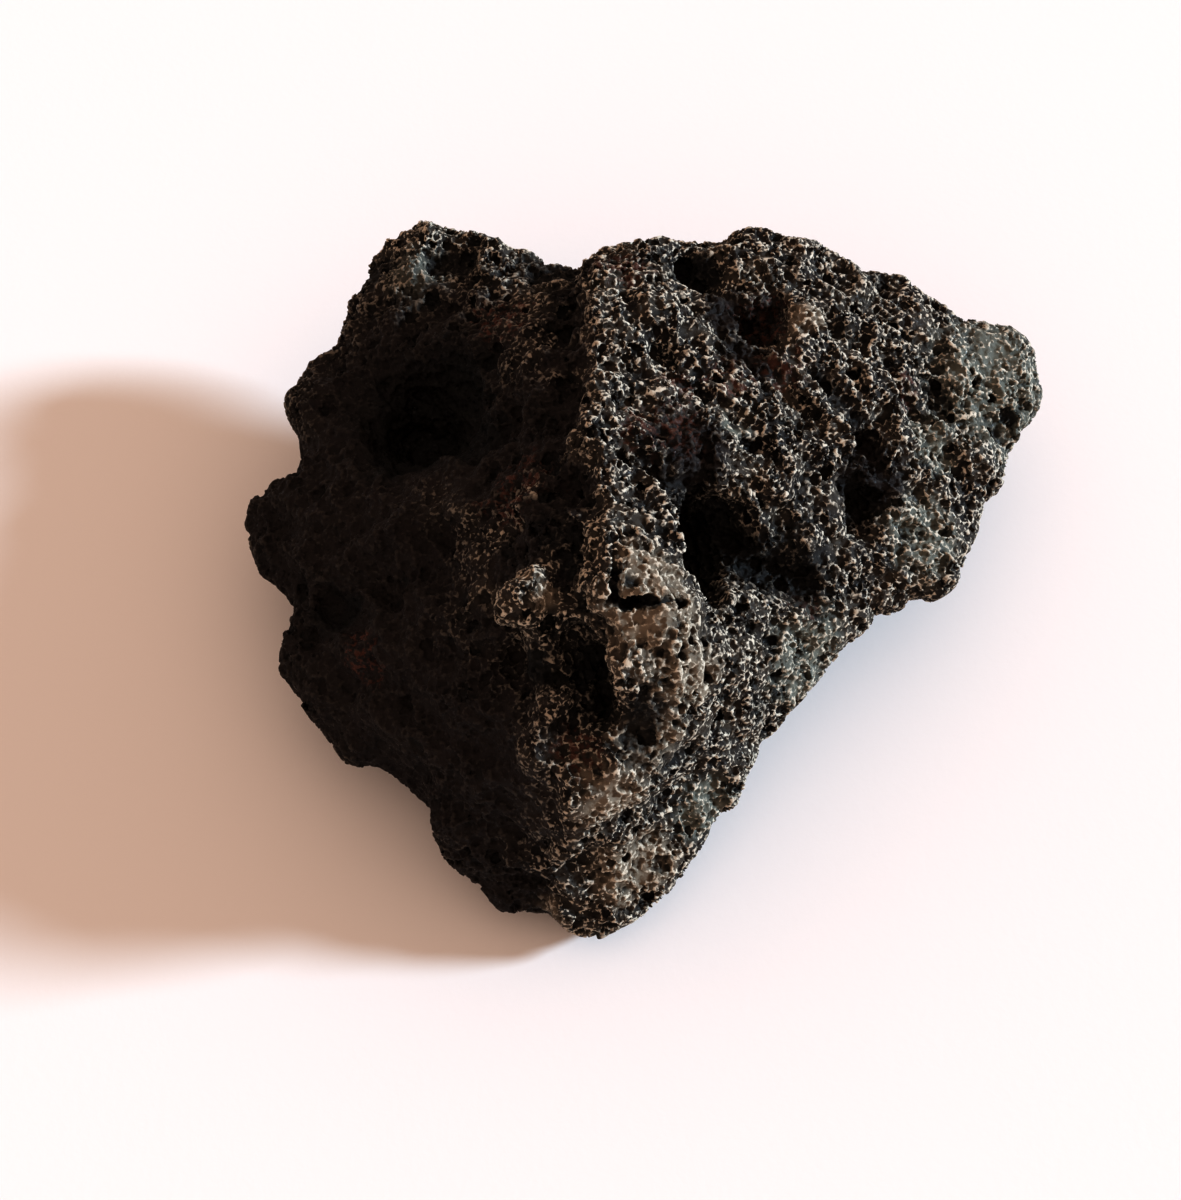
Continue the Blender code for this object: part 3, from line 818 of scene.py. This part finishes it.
class LavaStudio(PropertyGroup):
    """The paper, the light and the camera"""
    floor_colour: FloatVectorProperty(
        name="Floor", description="Colour of the paper that the rock lies on",
        subtype="COLOR", default=(0.80, 0.79, 0.78))
    key_height: FloatProperty(
        name="Key height", description="How high the main light stands above the table",
        subtype="ANGLE", default=math.radians(22.0))
    key_turn: FloatProperty(
        name="Key turn", description="How far the main light is turned from the right to the back",
        subtype="ANGLE", default=math.radians(9.0))
    key_softness: FloatProperty(
        name="Key softness", description="Apparent width of the main light",
        subtype="ANGLE", default=math.radians(9.0))
    key_strength: FloatProperty(
        name="Key strength", description="Strength of the main light", default=5.80)
    key_colour: FloatVectorProperty(
        name="Key colour", description="Colour of the main light",
        subtype="COLOR", default=(0.635, 0.82, 1.0))
    fill_strength: FloatProperty(
        name="Fill strength", description="Strength of the light from all round", default=0.917)
    fill_colour: FloatVectorProperty(
        name="Fill colour", description="Colour of the light from all round",
        subtype="COLOR", default=(1.0, 0.746, 0.615))
    contrast: FloatProperty(
        name="Contrast", description="How hard the picture is developed", default=1.5)
    camera_tilt: FloatProperty(
        name="Camera tilt", description="How steeply the camera looks down",
        subtype="ANGLE", default=math.radians(63.0))
    camera_distance: FloatProperty(
        name="Camera distance", description="From the camera to the middle of the view",
        unit="LENGTH", default=159.0 * MM)


# Operators

class LAVA_OT_rock(Operator):
    """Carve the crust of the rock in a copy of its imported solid, cut into four pieces because one
    piece is kept under 200,000 triangles"""
    bl_idname = "lava.rock"
    bl_label = "Carve the rock"

    def execute(self, context):
        crust = carved_rock(context.scene.lava_finish.triangles)
        move_points(crust, points_of(crust) * MM)
        crust.materials.append(basalt_material())
        crust.shade_smooth()
        for side, half in zip(("left", "right"), cut_in_two(crust, 0)):
            for end, quarter in zip(("front", "back"), cut_in_two(half, 1)):
                piece = bpy.data.objects.new(f"crust_{side}_{end}", quarter)
                context.scene.collection.objects.link(piece)
                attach(piece, "root")
                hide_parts(NODE)
        return {"FINISHED"}


class LAVA_OT_stage(Operator):
    """Set up the paper, the soft key light, the fill and the camera"""
    bl_idname = "lava.stage"
    bl_label = "Set up the studio"

    FLOOR_HALF = 0.6
    VIEW_MIDDLE = (-5.9 * MM, -5.97 * MM, 14.0 * MM)
    LENS = 50.0

    def execute(self, context):
        self.lay_paper(context)
        self.set_lights(context)
        self.place_camera(context)
        return {"FINISHED"}

    def lay_paper(self, context):
        shape = bmesh.new()
        bmesh.ops.create_grid(shape, x_segments=1, y_segments=1, size=self.FLOOR_HALF)
        mesh = bpy.data.meshes.new("paper")
        shape.to_mesh(mesh)
        shape.free()
        mesh.materials.append(paper_material())
        paper = bpy.data.objects.new("paper", mesh)
        context.scene.collection.objects.link(paper)

    def set_lights(self, context):
        studio = context.scene.lava_studio
        lamp = bpy.data.lights.new("key", "SUN")
        lamp.energy = studio.key_strength
        lamp.color = studio.key_colour
        lamp.angle = studio.key_softness
        key = bpy.data.objects.new("key", lamp)
        context.scene.collection.objects.link(key)
        flat = math.cos(studio.key_height)
        towards = Vector((
            flat * math.cos(studio.key_turn), flat * math.sin(studio.key_turn),
            math.sin(studio.key_height)))
        key.rotation_euler = towards.to_track_quat("Z", "Y").to_euler()
        world = bpy.data.worlds.new("fill")
        world.use_nodes = True
        sky = world.node_tree.nodes["Background"]
        sky.inputs["Color"].default_value = (*studio.fill_colour, 1.0)
        sky.inputs["Strength"].default_value = studio.fill_strength
        context.scene.world = world
        context.scene.view_settings.view_transform = "Standard"
        context.scene.view_settings.gamma = 1.0 / studio.contrast

    def place_camera(self, context):
        studio = context.scene.lava_studio
        lens = bpy.data.cameras.new("camera")
        lens.lens = self.LENS
        lens.clip_start = 1.0 * MM
        camera = bpy.data.objects.new("camera", lens)
        context.scene.collection.objects.link(camera)
        tilt = studio.camera_tilt
        back = Vector((0.0, -math.cos(tilt), math.sin(tilt)))
        camera.location = Vector(self.VIEW_MIDDLE) + back * studio.camera_distance
        camera.rotation_euler = (math.pi / 2 - tilt, 0.0, 0.0)
        context.scene.camera = camera


class LAVA_PT_panel(Panel):
    """The lava rock's pieces and settings"""
    bl_idname = "LAVA_PT_panel"
    bl_label = "Lava rock"
    bl_space_type = "VIEW_3D"
    bl_region_type = "UI"
    bl_category = "Lava rock"

    def draw(self, context):
        for operator in OPERATORS:
            self.layout.operator(operator.bl_idname)
        for name in GROUPS:
            group = getattr(context.scene, name)
            box = self.layout.box()
            for key in group.bl_rna.properties.keys():
                if key not in ("rna_type", "name"):
                    box.prop(group, key)


GROUPS = {"lava_finish": LavaFinish, "lava_studio": LavaStudio}
OPERATORS = (LAVA_OT_rock, LAVA_OT_stage)


def register():
    for cls in (*GROUPS.values(), *OPERATORS, LAVA_PT_panel):
        bpy.utils.register_class(cls)
    for name, group in GROUPS.items():
        setattr(bpy.types.Scene, name, PointerProperty(type=group))


def unregister():
    for name in GROUPS:
        delattr(bpy.types.Scene, name)
    for cls in (LAVA_PT_panel, *reversed(OPERATORS), *reversed(list(GROUPS.values()))):
        bpy.utils.unregister_class(cls)


def main():
    register()
    bpy.ops.lava.rock()
    bpy.ops.lava.stage()


if __name__ == "__main__":
    main()
